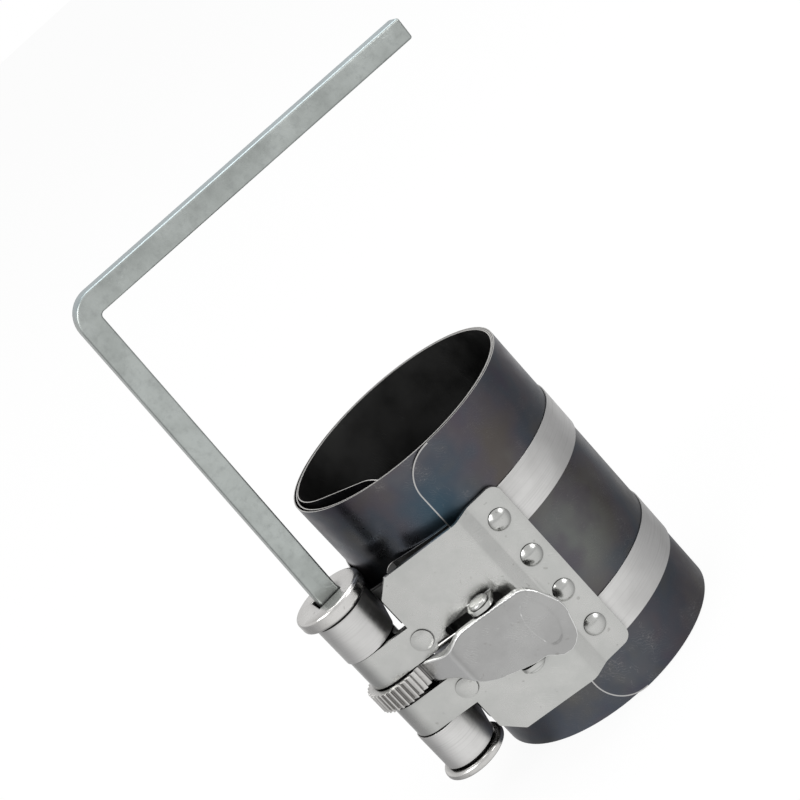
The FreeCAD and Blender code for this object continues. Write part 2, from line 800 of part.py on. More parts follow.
def lever_spring():
    """Torsion spring on the pin: a close-wound coil, one leg on the deck, one under the paddle."""
    length = spring_turns * 2 * wire_radius
    low = PIN + UP * (spring_top_z - length)
    coil_wall = rod(spring_radius + wire_radius, low, UP, length)
    coil_wall = coil_wall.cut(rod(spring_radius - wire_radius, low - UP * length, UP, 3 * length))
    seat_height = wire_radius + spring_seat_gap
    along = (window_left_x - spring_foot_margin - spindle_x) / math.cos(math.radians(deck_slope))
    deck_foot = SPINDLE + deck_out * (knuckle_radius + seat_height) + deck_along * along

    kind, start, end, heading, centre, turn = lever_route().legs[-1]
    radius = (start - centre).Length - lever_thickness / 2 - seat_height
    across = pin_x + spring_leg_reach - centre.x
    paddle_foot = centre + vec(across, -math.sqrt(radius ** 2 - across ** 2))
    legs = [spring_leg(deck_foot, spring_top_z - wire_radius), spring_leg(paddle_foot, low.z + wire_radius)]
    return joined([coil_wall] + legs)


def spring_leg(foot, height):
    """A straight leg that leaves the coil along its tangent."""
    reach = foot - PIN
    azimuth = math.degrees(math.atan2(reach.y, reach.x))
    root = PIN + polar(spring_radius, azimuth - math.degrees(math.acos(spring_radius / reach.Length)))
    return rod(wire_radius, root + UP * height, foot - root, (foot - root).Length)


def key():
    """The square bar, bent at the top; the long arm's weight leans it in the socket's play."""
    lowest = bar_width / 2 * math.sin(math.radians(key_lean))
    foot_z = spindle_top - socket_depth + key_seat_gap + lowest
    bend = Path(vec(spindle_x, foot_z), 90.0)
    bend.line(key_corner_z - key_bend_radius - foot_z)
    bend.arc(key_bend_radius, -90.0)
    bend.line(key_arm_length - key_bend_radius)
    bar = bend.strip(bar_width).extrude(UP * bar_width).translated(UP * (-bar_width / 2))
    bar.rotate(vec(0, 0), vec(1, 0), 90)
    bar.translate(vec(0, spindle_y))
    socket_middle = SPINDLE + UP * (spindle_top - socket_depth / 2)
    bar.rotate(socket_middle, vec(0, 1), key_lean)
    bar.rotate(socket_middle, UP, key_azimuth)
    return bar


def build():
    shapes = {"sleeve": sleeve(), "bracket": bracket(), "back_plate": back_plate()}
    for name, height in strap_heights.items():
        shapes["strap_" + name] = strap(height)
        shapes["coil_" + name] = coil(height)
    shapes.update(rivets())
    shapes["spindle"] = spindle()
    shapes["end_flange"] = end_flange()
    shapes["ratchet_wheel"] = ratchet_wheel()
    shapes["pawl_lever"] = pawl_lever()
    shapes["lever_pin"] = lever_pin()
    shapes["lever_spring"] = lever_spring()
    shapes["key"] = key()
    return shapes


os.makedirs("parts", exist_ok=True)
for node, shape in build().items():
    shape.exportStep("parts/" + node + ".step")
    print(node, len(shape.Solids), round(shape.Volume, 1), shape.isValid())
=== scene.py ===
import math

import bpy
from mathutils import Matrix, Vector


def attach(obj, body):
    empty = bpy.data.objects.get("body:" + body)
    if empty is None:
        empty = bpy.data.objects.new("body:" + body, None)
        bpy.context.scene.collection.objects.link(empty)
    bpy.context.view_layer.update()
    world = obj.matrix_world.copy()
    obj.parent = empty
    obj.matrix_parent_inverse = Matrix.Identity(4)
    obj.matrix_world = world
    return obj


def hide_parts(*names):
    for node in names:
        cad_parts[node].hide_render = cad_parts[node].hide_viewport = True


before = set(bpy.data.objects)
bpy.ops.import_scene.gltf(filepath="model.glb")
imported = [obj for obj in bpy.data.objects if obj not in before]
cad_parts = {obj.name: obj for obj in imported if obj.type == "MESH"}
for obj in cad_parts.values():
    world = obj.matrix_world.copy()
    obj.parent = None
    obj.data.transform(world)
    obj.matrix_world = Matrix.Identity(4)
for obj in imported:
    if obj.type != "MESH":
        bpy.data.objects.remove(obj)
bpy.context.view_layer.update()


# The camera stands in front and a little above, rolled so that the sleeve
# leans to the left as it does in the picture.
camera = bpy.data.objects.new("camera", bpy.data.cameras.new("camera"))
bpy.context.scene.collection.objects.link(camera)
camera.data.lens = 95.85
camera.data.sensor_width = 36.0
camera.data.clip_start = 0.01
camera.data.clip_end = 50.0
camera.location = (0.0011, -0.5294, 0.2514)
camera.rotation_euler = Matrix((
    (0.7387, 0.6740, -0.0059),
    (-0.1995, 0.2102, -0.9571),
    (-0.6439, 0.7081, 0.2897),
)).to_euler()
bpy.context.scene.camera = camera
bpy.context.scene.view_settings.view_transform = "Standard"


# A white card under the object, with soft lamps over it. The card is white to
# the camera and keeps the object's shadow. Where the metal mirrors it, it is
# white in front and greys to its sides.
class Wire:
    """A socket that can be written into a sum."""

    def __init__(self, paint, socket):
        self.paint = paint
        self.socket = socket

    def math(self, operation, first, second=0.0):
        return self.paint.node("ShaderNodeMath", {"operation": operation}, {0: first, 1: second})

    def __add__(self, other):
        return self.math("ADD", self, other)

    def __radd__(self, other):
        return self.math("ADD", other, self)

    def __sub__(self, other):
        return self.math("SUBTRACT", self, other)

    def __rsub__(self, other):
        return self.math("SUBTRACT", other, self)

    def __mul__(self, other):
        return self.math("MULTIPLY", self, other)

    def __rmul__(self, other):
        return self.math("MULTIPLY", other, self)

    def __pow__(self, other):
        return self.math("POWER", self, other)

    def __gt__(self, other):
        return self.math("GREATER_THAN", self, other)

    def __abs__(self):
        return self.math("ABSOLUTE", self)

    def at_least(self, other):
        return self.math("MAXIMUM", self, other)


class Paint:
    """One material, and the nodes that it is mixed from."""

    def __init__(self, name, world=None):
        self.owner = world or bpy.data.materials.new(name)
        self.owner.use_nodes = True
        self.tree = self.owner.node_tree
        self.tree.nodes.clear()

    def node(self, kind, settings=None, sockets=None, output=0):
        made = self.tree.nodes.new(kind)
        for key, value in (settings or {}).items():
            if key == "stops":
                ramp = made.color_ramp
                while len(ramp.elements) < len(value):
                    ramp.elements.new(0.5)
                for element, (place, colour) in zip(ramp.elements, value):
                    element.position = place
                    element.color = (*colour, 1.0)
            else:
                setattr(made, key, value)
        for key, value in (sockets or {}).items():
            if isinstance(value, Wire):
                self.tree.links.new(value.socket, made.inputs[key])
            elif made.inputs[key].type == "RGBA":
                made.inputs[key].default_value = (*value, 1.0)
            else:
                made.inputs[key].default_value = value
        return Wire(self, made.outputs[output]) if made.outputs else made

    def place(self, scale=(1.0, 1.0, 1.0), turn=(0.0, 0.0, 0.0), shift=(0.0, 0.0, 0.0)):
        spot = self.node("ShaderNodeTexCoord", output="Object")
        settings = {"Vector": spot, "Scale": scale, "Rotation": turn, "Location": shift}
        return self.node("ShaderNodeMapping", None, settings)

    def noise(self, where, scale, detail=3.0, rough=0.55):
        sockets = {"Vector": where, "Scale": scale, "Detail": detail, "Roughness": rough}
        return self.node("ShaderNodeTexNoise", None, sockets)

    def spread(self, value, low, high, to_low=0.0, to_high=1.0):
        settings = {"interpolation_type": "SMOOTHSTEP"}
        return self.node("ShaderNodeMapRange", settings, {0: value, 1: low, 2: high, 3: to_low, 4: to_high})

    def blend(self, amount, under, over):
        return self.node("ShaderNodeMix", {"data_type": "RGBA"}, {0: amount, 6: under, 7: over}, output=2)

    def part(self, vector, axis):
        return self.node("ShaderNodeSeparateXYZ", None, {0: vector}, output=axis)

    def along(self, vector, way):
        """How far a vector goes in one direction."""
        sockets = {0: vector, 1: way}
        return self.node("ShaderNodeVectorMath", {"operation": "DOT_PRODUCT"}, sockets, output="Value")

    def reach(self, centre, scale=(1.0, 1.0, 1.0)):
        """How far a point lies from a centre, in metres."""
        shift = tuple(-place * share for place, share in zip(centre, scale))
        sockets = {0: self.place(scale, shift=shift)}
        return self.node("ShaderNodeVectorMath", {"operation": "LENGTH"}, sockets, output="Value")

    def scratches(self, turn, scale, warp, share, shift=(0.0, 0.0, 0.0)):
        """Fine broken hairlines that run one way, more or less."""
        spot = self.place(turn=turn, shift=shift)
        bands = self.node("ShaderNodeTexWave", {"bands_direction": "X"}, {
            "Vector": spot, "Scale": scale, "Distortion": warp,
            "Detail": 2.0, "Detail Scale": 1.6, "Detail Roughness": 0.5})
        kept = self.spread(self.noise(self.place(shift=shift), 150.0, 2.0), share, share + 0.05)
        return self.spread(bands, 0.965, 1.0) * kept

    def painted_gap_shade(self, reach=0.003):
        """How deep in a corner or gap a point lies, where shade is painted into the colour."""
        settings = {"samples": 8}
        open_share = self.node("ShaderNodeAmbientOcclusion", settings, {"Distance": reach}, output="AO")
        return self.spread(open_share, 0.25, 0.95, 1.0, 0.0)

    def metal(self, colour, roughness, height=None, depth=0.00002, strength=1.0):
        sockets = {"Base Color": colour, "Roughness": roughness, "Metallic": 1.0}
        if height is not None:
            bump = {"Strength": strength, "Distance": depth, "Height": height}
            sockets["Normal"] = self.node("ShaderNodeBump", None, bump)
        self.finish(self.node("ShaderNodeBsdfPrincipled", None, sockets))

    def finish(self, shader, kind="ShaderNodeOutputMaterial"):
        self.node(kind, None, {"Surface": shader})


card = Paint("white_card")
seen = card.node("ShaderNodeLightPath", output="Is Camera Ray")
mirrored = card.node("ShaderNodeLightPath", output="Is Glossy Ray")
through = card.node("ShaderNodeLightPath", output="Is Transmission Ray")
aim = card.node("ShaderNodeVectorMath", {"operation": "NORMALIZE"}, {0: card.place(shift=(0.02, 0.02, 0.0))})
frontness = card.part(aim, "Y") * -0.5 + 0.5
sweep = card.node("ShaderNodeValToRGB", {"stops": [
    (0.0, (0.85, 0.85, 0.85)), (0.25, (0.34, 0.34, 0.345)), (0.50, (0.38, 0.38, 0.385)),
    (0.82, (0.92, 0.92, 0.92)), (1.0, (1.0, 1.0, 1.0))]}, {0: frontness})
matt = card.node("ShaderNodeBsdfDiffuse", None, {"Color": (0.9, 0.9, 0.9)})
tone = card.blend(mirrored, (1.0, 1.0, 1.0), sweep)
white = card.node("ShaderNodeEmission", None, {"Color": tone, "Strength": 1.0})
lit = 0.93 * (seen + mirrored + through)
card.finish(card.node("ShaderNodeMixShader", None, {0: lit, 1: matt, 2: white}))
bpy.ops.object.select_all(action="DESELECT")
bpy.ops.mesh.primitive_plane_add(size=8.0, location=(0.0, 0.0, -0.0004))
floor = bpy.context.object
floor.name = "floor_card"
floor.data.materials.append(card.owner)

sky = bpy.data.worlds.new("studio")
bpy.context.scene.world = sky
studio = Paint("studio", sky)
seen, mirrored, through = [studio.node("ShaderNodeLightPath", output=name) for name in (
    "Is Camera Ray", "Is Glossy Ray", "Is Transmission Ray")]
aim = studio.node("ShaderNodeTexCoord", output="Generated")
height = studio.part(aim, "Z") * 0.5 + 0.5
shade = studio.node("ShaderNodeValToRGB", {"stops": [
    (0.0, (0.3, 0.3, 0.3)), (0.5, (0.45, 0.45, 0.455)),
    (0.62, (1.0, 1.0, 1.0)), (1.0, (0.7, 0.7, 0.7))]}, {0: height})
soft = studio.node("ShaderNodeBackground", None, {"Color": shade, "Strength": 0.8})
clear = studio.node("ShaderNodeBackground", None, {"Color": (1.0, 1.0, 1.0), "Strength": 1.0})
full = seen + 0.4 * mirrored + through
studio.finish(studio.node("ShaderNodeMixShader", None, {0: full, 1: soft, 2: clear}), "ShaderNodeOutputWorld")

target = Vector((0.0, 0.0, 0.04))
for name, spot, power, size in (
    ("lamp_left", (-0.9, -0.7, 1.0), 8.0, 0.8),
    ("lamp_top", (0.3, 0.2, 1.3), 8.0, 1.0),
    ("lamp_right", (1.0, -0.6, 0.6), 3.0, 0.5),
):
    lamp = bpy.data.objects.new(name, bpy.data.lights.new(name, "AREA"))
    lamp.data.energy = power
    lamp.data.size = size
    lamp.location = spot
    lamp.rotation_euler = (target - Vector(spot)).to_track_quat("-Z", "Y").to_euler()
    bpy.context.scene.collection.objects.link(lamp)


# Sleeve: one sheet of blued spring steel, rolled into almost three turns. Its
# sheared edges are bare, heat has tinted it brown, purple, olive and teal in
# places, and handling has left hairline scratches.
MM = 0.001
AXIS = (0.0, 0.0)
SPINDLE_AXIS = (-42.8 * MM, -22.0 * MM)


def press_copy(node, ease=0.0, steps=2, angle=30.0, burnish=-1):
    """The node's own shape with its seams closed and its edges eased."""
    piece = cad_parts[node].copy()
    piece.data = piece.data.copy()
    piece.name = node + "_dressed"
    piece.data.materials.clear()
    if burnish > 0:
        for slot in range(burnish + 1):
            piece.data.materials.append(None)
    piece.parent = None
    for key in list(piece.keys()):
        del piece[key]
    bpy.context.scene.collection.objects.link(piece)
    bpy.ops.object.select_all(action="DESELECT")
    piece.select_set(True)
    bpy.context.view_layer.objects.active = piece
    bpy.ops.object.mode_set(mode="EDIT")
    bpy.ops.mesh.select_all(action="SELECT")
    bpy.ops.mesh.remove_doubles(threshold=0.000002)
    bpy.ops.mesh.dissolve_limited(angle_limit=math.radians(0.3))
    bpy.ops.object.mode_set(mode="OBJECT")
    if ease > 0:
        rim = piece.modifiers.new("ease", "BEVEL")
        rim.width = ease
        rim.segments = steps
        rim.limit_method = "ANGLE"
        rim.angle_limit = math.radians(angle)
        rim.material = burnish
        bpy.ops.object.modifier_apply(modifier="ease")
    bpy.ops.object.shade_smooth_by_angle(angle=math.radians(angle))
    return piece


def true_rounds(piece, centres, least=0.0, closeness=0.995):
    """Shade the walls that lie round an upright axis as true rounds."""
    mesh = piece.data
    normals = [corner.vector.copy() for corner in mesh.corner_normals]
    for face in mesh.polygons:
        if abs(face.normal.z) > 0.02:
            continue
        for x, y in centres:
            spoke = Vector((face.center.x - x, face.center.y - y, 0.0))
            if spoke.length < least:
                continue
            lean = face.normal.dot(spoke.normalized())
            if abs(lean) < closeness:
                continue
            for loop in face.loop_indices:
                place = mesh.vertices[mesh.loops[loop].vertex_index].co
                out = Vector((place.x - x, place.y - y, 0.0)).normalized()
                normals[loop] = out * math.copysign(1.0, lean)
            break
    mesh.normals_split_custom_set([tuple(normal) for normal in normals])


def thin_faces(piece, width):
    """The faces of cut edges: thin strips that don't face the axis."""
    thin = []
    for face in piece.data.polygons:
        places = [piece.data.vertices[index].co for index in face.vertices]
        around = sum((places[i] - places[i - 1]).length for i in range(len(places)))
        spoke = Vector((face.center.x, face.center.y, 0.0)).normalized()
        if 2.0 * face.area / around < width and abs(face.normal.dot(spoke)) < 0.7:
            thin.append(face)
    return thin


def dress(piece, node, body):
    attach(piece, body)
    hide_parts(node)


blued = Paint("blued_steel")
spot = blued.place()
tint = blued.noise(blued.place(shift=(0.31, 0.12, 0.27)), 38.0, 3.0, 0.6)
hue = blued.node("ShaderNodeValToRGB", {"stops": [
    (0.30, (0.098, 0.088, 0.083)), (0.42, (0.090, 0.083, 0.096)), (0.52, (0.073, 0.082, 0.100)),
    (0.62, (0.092, 0.093, 0.097)), (0.75, (0.108, 0.106, 0.099))]}, {0: tint})
from_teal = blued.reach((-6.0 * MM, -33.4 * MM, 71.0 * MM), (1.0, 1.0, 0.7))
teal = blued.spread(from_teal + 0.006 * tint, 0.004, 0.017, 1.0, 0.0)
hue = blued.blend(0.75 * teal, hue, (0.036, 0.078, 0.110))
from_olive = blued.reach((14.0 * MM, -31.0 * MM, 43.0 * MM), (1.0, 1.0, 0.8))
olive = blued.spread(from_olive + 0.010 * tint, 0.006, 0.021, 1.0, 0.0)
hue = blued.blend(0.8 * olive, hue, (0.165, 0.175, 0.160))
purple = blued.spread(blued.noise(blued.place(shift=(0.7, 0.2, 0.9)), 46.0, 3.0), 0.55, 0.7)
hue = blued.blend(0.5 * purple, hue, (0.080, 0.060, 0.088))
grime = blued.noise(spot, 1400.0, 3.0, 0.7)
hair = blued.scratches((0.4, 0.9, 0.3), 420.0, 9.0, 0.52, (0.2, 0.0, 0.0))
hair = hair + blued.scratches((1.1, 0.2, 1.3), 360.0, 12.0, 0.55, (0.5, 0.3, 0.1))
hair = hair + blued.scratches((0.2, 0.5, 2.2), 520.0, 7.0, 0.56, (0.1, 0.8, 0.4))
worn = blued.spread(blued.noise(blued.place(shift=(0.13, 0.5, 0.0)), 60.0, 3.0), 0.45, 0.66)
base = blued.blend(0.30 * hair * (0.2 + worn), hue, (0.34, 0.33, 0.33))
base = blued.blend(0.3 * worn, base, (0.140, 0.140, 0.140))

# The outer end's outline, with its two rounded corners, is ground bright.
END_AZIMUTH = math.radians(-103.5)
CORNER = 10.0 * MM
HALF_HEIGHT = 44.45 * MM
OUTERMOST = 34.0 * MM
ahead = (-math.sin(END_AZIMUTH), math.cos(END_AZIMUTH), 0.0)
from_end = blued.along(spot, ahead)
from_middle = abs(blued.part(spot, "Z") - HALF_HEIGHT)
past_side = (CORNER - from_end).at_least(0.0)
past_rim = (from_middle - (HALF_HEIGHT - CORNER)).at_least(0.0)
from_corner = (past_side * past_side + past_rim * past_rim) ** 0.5
outer_turn = blued.reach((0.0, 0.0, 0.0), (1.0, 1.0, 0.0)) > OUTERMOST
ground = blued.spread(from_corner, CORNER - 0.42 * MM, CORNER - 0.26 * MM) * outer_turn
ground = ground * (past_side > 0.0) * (from_end > -0.5 * MM)
base = blued.blend(0.85 * ground, base, (0.55, 0.54, 0.53))
cloud = blued.noise(spot, 60.0, 5.0, 0.65)
sheen = blued.spread(cloud, 0.32, 0.68, 0.22, 0.38) + 0.06 * grime
blued.metal(base, sheen, grime + 2.0 * cloud, 0.000012, 0.35)

oxide = Paint("blued_inside")
soot = oxide.noise(oxide.place(), 55.0, 4.0, 0.6)
rubbed = oxide.scratches((0.9, 0.3, 0.2), 380.0, 8.0, 0.6)
dark = oxide.blend(soot, (0.050, 0.050, 0.050), (0.085, 0.085, 0.083))
dark = oxide.blend(0.3 * rubbed, dark, (0.20, 0.20, 0.20))
oxide.metal(dark, oxide.spread(soot, 0.3, 0.7, 0.36, 0.52), soot, 0.00001, 0.3)

bare = Paint("bare_edge")
grind = bare.noise(bare.place(), 1500.0, 2.0)
light = bare.blend(grind, (0.32, 0.31, 0.30), (0.62, 0.61, 0.59))
bare.metal(light, bare.spread(grind, 0.3, 0.7, 0.3, 0.5))

sleeve = press_copy("sleeve")
true_rounds(sleeve, [AXIS], least=31.0 * MM)
for finish in (blued, oxide, bare):
    sleeve.data.materials.append(finish.owner)
for face in sleeve.data.polygons:
    if face.normal.dot(Vector((face.center.x, face.center.y, 0.0)).normalized()) < 0:
        face.material_index = 1
for face in thin_faces(sleeve, width=0.34 * MM):
    face.material_index = 2
dress(sleeve, "sleeve", "frame")


# Straps: two bands of thin satin steel that lie round the sleeve and run on
# to the spindle, where three turns of each are already wound.
satin = Paint("satin_strap")
grain = satin.noise(satin.place(scale=(1.0, 1.0, 60.0)), 40.0, 4.0, 0.6)
dull = satin.noise(satin.place(), 70.0, 3.0)
fleck = satin.noise(satin.place(), 900.0, 3.0, 0.7)
tone = satin.blend(satin.spread(dull, 0.3, 0.7), (0.60, 0.595, 0.585), (0.71, 0.705, 0.695))
tone = satin.blend(0.22 * satin.spread(grain, 0.45, 0.75), tone, (0.36, 0.355, 0.345))
# Painted shade: the strap is painted dark where it lies deep in a gap or corner.
tone = satin.blend(0.8 * satin.painted_gap_shade(), tone, (0.05, 0.049, 0.047))
rough = satin.spread(grain, 0.3, 0.7, 0.30, 0.42) + 0.05 * fleck
satin.metal(tone, rough, grain + 0.4 * fleck, 0.000010, 0.5)

for side in ("upper", "lower"):
    band = press_copy("strap_" + side, ease=0.06 * MM, steps=1, angle=40.0)
    true_rounds(band, [AXIS, SPINDLE_AXIS])
    band.data.materials.append(satin.owner)
    dress(band, "strap_" + side, "frame")
    roll = press_copy("coil_" + side)
    true_rounds(roll, [SPINDLE_AXIS], closeness=0.97)
    roll.data.materials.append(satin.owner)
    dress(roll, "coil_" + side, "spindle")


# Bracket and back plate: the bracket is pressed from sheet, rounded at its
# sheared edges by tumbling, and plated a little misty. The plate under it is
# thin dark spring steel with bare edges, held by the same rivets.
plated = Paint("bright_plate")
spot = plated.place()
mist = plated.noise(spot, 90.0, 5.0, 0.62)
speck = plated.noise(spot, 1300.0, 2.0)
pores = plated.spread(plated.noise(spot, 520.0, 2.0, 0.5), 0.70, 0.76)
hair = plated.scratches((0.3, 0.8, 0.5), 500.0, 6.0, 0.60)
tone = plated.blend(plated.spread(mist, 0.30, 0.72), (0.485, 0.49, 0.475), (0.555, 0.555, 0.54))
tone = plated.blend(0.4 * pores, tone, (0.26, 0.255, 0.24))
tone = plated.blend(0.2 * hair, tone, (0.85, 0.85, 0.84))
# Painted shade and shadow: the plate is painted dark in gaps and corners, round the rivets and under the
# lever.
tone = plated.blend(0.86 * plated.painted_gap_shade(0.0045), tone, (0.045, 0.044, 0.042))
rough = plated.spread(mist, 0.3, 0.7, 0.17, 0.27) + 0.05 * speck
plated.metal(tone, rough, mist * 0.4 + 0.3 * speck, 0.000012, 0.4)

burnished = Paint("burnished_edge")
rub = burnished.noise(burnished.place(), 900.0, 3.0, 0.6)
tone = burnished.blend(burnished.spread(rub, 0.3, 0.7), (0.70, 0.70, 0.685), (0.88, 0.88, 0.865))
# Painted shade: the eased edges are painted dark where they lie deep in a gap or corner.
tone = burnished.blend(0.6 * burnished.painted_gap_shade(0.0015), tone, (0.06, 0.059, 0.057))
burnished.metal(tone, 0.12 + 0.12 * rub)

bracket = press_copy("bracket", ease=0.28 * MM, steps=3, angle=35.0, burnish=1)
true_rounds(bracket, [SPINDLE_AXIS], least=5.0 * MM, closeness=0.99)
bracket.data.materials[0] = plated.owner
bracket.data.materials[1] = burnished.owner
dress(bracket, "bracket", "frame")

# Two tongues of the back plate reach under the knuckles, one on each side of
# the ratchet wheel.
TONGUE_EDGES = (33.0 * MM, 54.0 * MM)
TONGUE = (-5.6 * MM, 2.3 * MM, 0.0)
PLATE_MIDDLE = 42.0 * MM
PLATE_SQUEEZE = 0.972
back_plate = press_copy("back_plate", angle=35.0)
bpy.ops.object.mode_set(mode="EDIT")
for level in TONGUE_EDGES:
    bpy.ops.mesh.select_all(action="SELECT")
    bpy.ops.mesh.bisect(plane_co=(0.0, 0.0, level), plane_no=(0.0, 0.0, 1.0))
bpy.ops.mesh.select_mode(type="FACE")
bpy.ops.mesh.select_all(action="DESELECT")
bpy.ops.object.mode_set(mode="OBJECT")
for face in back_plate.data.polygons:
    at_end = face.center.x < -28.0 * MM and face.normal.x < -0.8
    face.select = at_end and abs(face.center.z - PLATE_MIDDLE) > 11.0 * MM
bpy.ops.object.mode_set(mode="EDIT")
bpy.ops.mesh.extrude_region_move(TRANSFORM_OT_translate={"value": TONGUE})
bpy.ops.mesh.select_all(action="SELECT")
bpy.ops.transform.resize(value=(1.0, 1.0, PLATE_SQUEEZE), center_override=(0.0, 0.0, PLATE_MIDDLE))
bpy.ops.object.mode_set(mode="OBJECT")
bpy.ops.object.shade_smooth_by_angle(angle=math.radians(35.0))
back_plate.data.materials.append(oxide.owner)
back_plate.data.materials.append(bare.owner)
for face in thin_faces(back_plate, width=0.42 * MM):
    face.material_index = 1
dress(back_plate, "back_plate", "frame")


# Rivets: four with high domes through the foot, two flatter ones through the
# knuckles' tabs. Each head is struck down on the sheet round a small collar.
HEAD_RADIUS = 2.95 * MM
TAB_AZIMUTH = math.radians(-105.0)
FOOT_AZIMUTH = math.radians(-86.0)


def struck_head(node, azimuth, radius, rise, collar):
    """The rivet's own shank with a true dome struck on its seat."""
    shank = press_copy(node)
    out = Vector((math.cos(azimuth), math.sin(azimuth), 0.0))
    reaches = [vertex.co.dot(out) for vertex in shank.data.vertices]
    middle = sum((Vector(corner) for corner in shank.bound_box), Vector()) / 8.0
    seat = max(reaches) - rise
    centre = middle + out * (seat - middle.dot(out))
    bpy.ops.object.mode_set(mode="EDIT")
    bpy.ops.mesh.select_all(action="SELECT")
    bpy.ops.mesh.bisect(plane_co=centre, plane_no=out, use_fill=True, clear_outer=True)
    bpy.ops.object.mode_set(mode="OBJECT")
    ball = (radius ** 2 + (rise - collar) ** 2) / (2.0 * (rise - collar))
    bpy.ops.object.select_all(action="DESELECT")
    turn = out.to_track_quat("Z", "Y").to_euler()
    bpy.ops.mesh.primitive_uv_sphere_add(
        segments=40, ring_count=48, radius=ball, location=centre + out * (rise - ball), rotation=turn)
    dome = bpy.context.object
    bpy.ops.object.transform_apply(location=True, rotation=True, scale=True)
    bpy.ops.object.mode_set(mode="EDIT")
    bpy.ops.mesh.select_all(action="SELECT")
    bpy.ops.mesh.bisect(plane_co=centre + out * collar, plane_no=out, use_fill=True, clear_inner=True)
    bpy.ops.mesh.select_all(action="DESELECT")
    bpy.ops.object.mode_set(mode="OBJECT")
    for face in dome.data.polygons:
        face.select = face.normal.dot(out) < -0.99
    bpy.ops.object.mode_set(mode="EDIT")
    bpy.ops.mesh.select_mode(type="FACE")
    bpy.ops.mesh.extrude_region_move(TRANSFORM_OT_translate={"value": tuple(out * -collar)})
    bpy.ops.mesh.select_all(action="SELECT")
    bpy.ops.mesh.normals_make_consistent(inside=False)
    bpy.ops.object.mode_set(mode="OBJECT")
    shank.select_set(True)
    bpy.context.view_layer.objects.active = shank
    bpy.ops.object.join()
    bpy.ops.object.shade_smooth_by_angle(angle=math.radians(28.0))
    shank.data.materials.clear()
    shank.data.materials.append(plated.owner)
    return shank


for name in ("strap_rivet_upper", "foot_rivet_upper", "foot_rivet_lower", "strap_rivet_lower"):
    head = struck_head(name, FOOT_AZIMUTH, HEAD_RADIUS, rise=1.5 * MM, collar=0.25 * MM)
    dress(head, name, "frame")
for name in ("knuckle_rivet_upper", "knuckle_rivet_lower"):
    head = struck_head(name, TAB_AZIMUTH, HEAD_RADIUS, rise=0.8 * MM, collar=0.3 * MM)
    dress(head, name, "frame")


# Spindle, its end flange and its ratchet wheel: turned from steel bar, with
# the lathe's fine rings left on them. Flange and wheel are pressed on it.
lathe = Paint("turned_steel")
spot = lathe.place()
across = lathe.reach((SPINDLE_AXIS[0], SPINDLE_AXIS[1], 0.0), (1.0, 1.0, 0.0))
lane = lathe.node("ShaderNodeCombineXYZ", None, {0: across * 40.0, 1: lathe.part(spot, "Z") * 40.0, 2: 0.0})
ring = lathe.noise(lane, 60.0, 4.0, 0.7)
mist = lathe.noise(spot, 120.0, 4.0, 0.6)
pits = lathe.spread(lathe.noise(spot, 600.0, 3.0, 0.6), 0.62, 0.74)
tone = lathe.blend(lathe.spread(mist, 0.3, 0.7), (0.53, 0.52, 0.505), (0.66, 0.65, 0.635))
tone = lathe.blend(0.35 * pits, tone, (0.20, 0.195, 0.18))
tone = lathe.blend(0.18 * lathe.spread(ring, 0.5, 0.8), tone, (0.30, 0.295, 0.28))
# Painted shade: the turned parts and the spring are painted dark where they lie deep in a gap or corner.
tone = lathe.blend(0.86 * lathe.painted_gap_shade(), tone, (0.04, 0.039, 0.037))
rough = lathe.spread(mist, 0.3, 0.7, 0.17, 0.30) + 0.10 * pits
lathe.metal(tone, rough, ring + 0.5 * pits, 0.000014, 0.6)
for name, ease in (("spindle", 0.4 * MM), ("end_flange", 0.3 * MM), ("ratchet_wheel", 0.22 * MM)):
    piece = press_copy(name, ease, steps=3, angle=28.0)
    true_rounds(piece, [SPINDLE_AXIS], least=5.0 * MM, closeness=0.99)
    piece.data.materials.append(lathe.owner)
    dress(piece, name, "spindle")


# Lever: pressed from one plated sheet, with its rim rolled down round the
# paddle and a shallow oval in it. It turns on a headed pin through both ears.
# Its plate is painted darker than the bracket's as painted shade, and its rim
# and sides are painted bright as a painted highlight.

# These values are in millimetres. Each pair is a place along the lever and how
# far its lower edge is moved up there.
LOWER_EDGE = (
    (-31.0, 0.0), (-26.0, 1.3), (-22.0, 1.9), (-18.0, 0.8),
    (-15.0, 0.0), (-11.5, -0.3), (-9.5, -1.2), (-6.0, 0.0))
LOWER_EDGE_TOP = 36.5
END_STARTS = -13.0
END_PULL = 2.8
CROWN_STARTS = 44.0
CROWN_DROP = 0.6


def grow(value, start, length):
    """0 up to the start, 1 from the length on, and even between them."""
    return min(max((value - start) / length, 0.0), 1.0)


def soften(share):
    return share * share * (3.0 - 2.0 * share)


lever = press_copy("pawl_lever")
skin = lever.modifiers.new("pressing", "REMESH")
skin.mode = "VOXEL"
skin.voxel_size = 0.24 * MM
rounding = lever.modifiers.new("tumbling", "SMOOTH")
rounding.factor = 0.5
rounding.iterations = 26
bpy.context.view_layer.objects.active = lever
bpy.ops.object.modifier_apply(modifier="pressing")
for vertex in lever.data.vertices:
    x, y, z = (part / MM for part in vertex.co)
    shift = 0.0
    for (left, before), (right, after) in zip(LOWER_EDGE, LOWER_EDGE[1:]):
        if left <= x < right:
            shift = before + (after - before) * (x - left) / (right - left)
    lift = shift * soften(grow(-z, -LOWER_EDGE_TOP, 6.0))
    drop = CROWN_DROP * (grow(z, CROWN_STARTS, 5.0) * grow(x, -20.0, 12.0))
    pull = END_PULL * soften(grow(x, END_STARTS, 14.0))
    vertex.co = Vector((x - pull, y, z + lift - drop)) * MM
bpy.ops.object.modifier_apply(modifier="tumbling")
bpy.ops.object.shade_smooth()
lever_paint = Paint("plate_wear_and_painted_light")
spot = lever_paint.place()
mist = lever_paint.noise(spot, 90.0, 5.0, 0.62)
